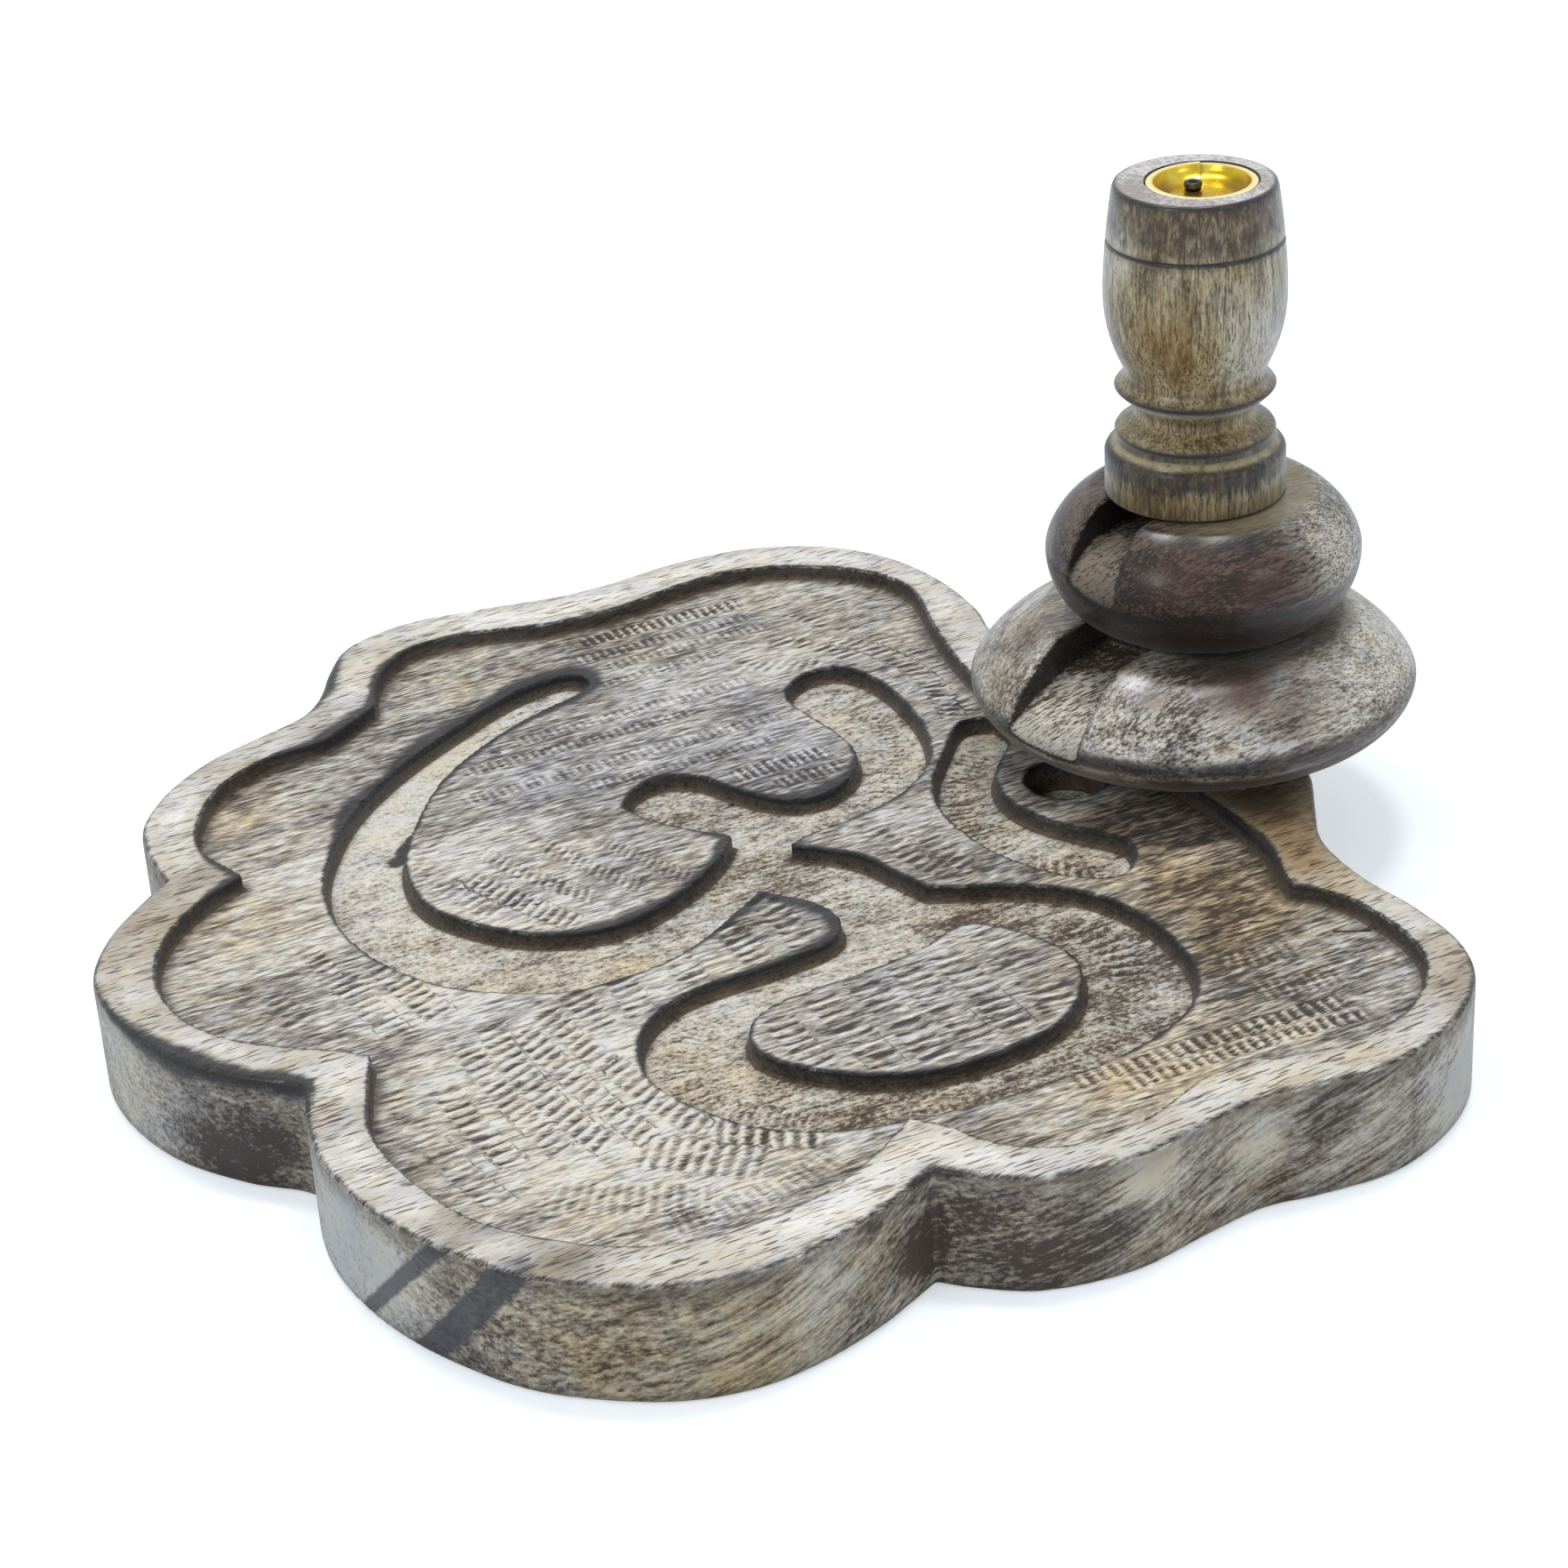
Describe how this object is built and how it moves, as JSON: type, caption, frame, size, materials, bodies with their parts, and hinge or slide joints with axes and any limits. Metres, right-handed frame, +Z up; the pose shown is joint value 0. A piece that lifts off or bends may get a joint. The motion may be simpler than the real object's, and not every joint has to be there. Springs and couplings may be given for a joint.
{
  "type": "backflow incense burner",
  "caption": "Carved wooden tray with a smoke trough, two stacked turned pebbles with smoke channels, and a turned holder with a brass cup for a backflow incense cone.",
  "frame": {"origin": "on the surface that the tray stands on, under the middle of the whole burner's plan", "axes": "+Z up; +Y from the front of the tray to the pebble tower, along the wood's grain and up the carved sign; +X to the sign's right"},
  "size_m": [0.219, 0.2286, 0.1164],
  "materials": {
    "tray_wood": "dark-washed and flame-darkened hardwood, satin",
    "pale_pebble_wood": "greyish tan hardwood, polished",
    "dark_pebble_wood": "reddish brown hardwood, polished",
    "holder_wood": "turned hardwood with flame-darkened lines, satin",
    "brass": "bright polished brass",
    "dark_steel": "blackened",
    "dowel_wood": "plain beech",
    "screw_steel": "zinc plated"
  },
  "bodies": {
    "root": {"tray": "tray_wood", "lower_pebble": "pale_pebble_wood", "upper_pebble": "dark_pebble_wood", "cone_holder": "holder_wood", "brass_cup": "brass", "cup_eyelet": "dark_steel", "pebble_dowel_left": "dowel_wood", "pebble_dowel_right": "dowel_wood", "holder_dowel_left": "dowel_wood", "holder_dowel_right": "dowel_wood", "tray_screw_left": "screw_steel", "tray_screw_right": "screw_steel"}
  },
  "joints": []
}
